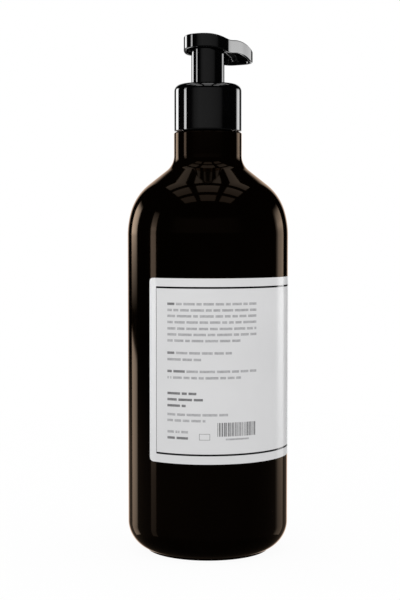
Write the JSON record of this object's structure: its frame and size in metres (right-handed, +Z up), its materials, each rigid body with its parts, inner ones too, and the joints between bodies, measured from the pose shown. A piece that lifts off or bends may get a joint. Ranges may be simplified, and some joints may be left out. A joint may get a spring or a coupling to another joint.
{
  "type": "conditioner bottle",
  "caption": "Tall round pump bottle with a domed shoulder, a wide wrap round label and a duck bill pump head that presses down and swivels.",
  "frame": {"origin": "centre of the foot ring on the plane the bottle stands on", "axes": "+Z up along the bottle's axis, -Y is the way the pump's beak points at rest, +X completes the right hand frame"},
  "size_m": [0.0852, 0.0854, 0.2716],
  "materials": {
    "bottle": "very dark brown PET, mirror gloss",
    "label": "satin white film with black and grey print",
    "black_gloss": "glossy black polypropylene",
    "black_closure": "satin black polypropylene",
    "pump_plastic": "natural translucent polypropylene",
    "tube_plastic": "natural polyethylene",
    "seal": "soft white polyethylene",
    "steel": "bright stainless steel"
  },
  "bodies": {
    "bottle": {"bottle": "bottle", "label": "label"},
    "pump": {"pump_housing": "pump_plastic", "chaplet": "pump_plastic", "gasket": "seal", "ball_stop": "pump_plastic", "spring": "steel", "dip_tube": "tube_plastic"},
    "closure": {"collar_cover": "black_gloss", "screw_closure": "black_closure"},
    "ball": {"valve_ball": "steel"},
    "piston": {"piston_seal": "seal"},
    "head": {"actuator_head": "black_gloss", "stem": "black_closure"}
  },
  "joints": [
    {"name": "pump_lift", "type": "slide", "parent": "bottle", "child": "pump", "axis": [0, 0, 1], "range_m": [0, 0.24]},
    {"name": "closure_turn", "type": "hinge", "parent": "pump", "child": "closure", "pos_m": [0, 0, 0.2209], "axis": [0, 0, 1], "continuous": true},
    {"name": "ball_lift", "type": "slide", "parent": "pump", "child": "ball", "axis": [0, 0, 1], "range_m": [0, 0.0015]},
    {"name": "head_press", "type": "slide", "parent": "pump", "child": "piston", "axis": [0, 0, -1], "range_m": [0, 0.015], "stiffness_N_per_m": 800, "springref_m": -0.009, "deforming": ["spring"]},
    {"name": "head_turn", "type": "hinge", "parent": "piston", "child": "head", "pos_m": [0, 0, 0.2445], "axis": [0, 0, 1], "continuous": true}
  ]
}
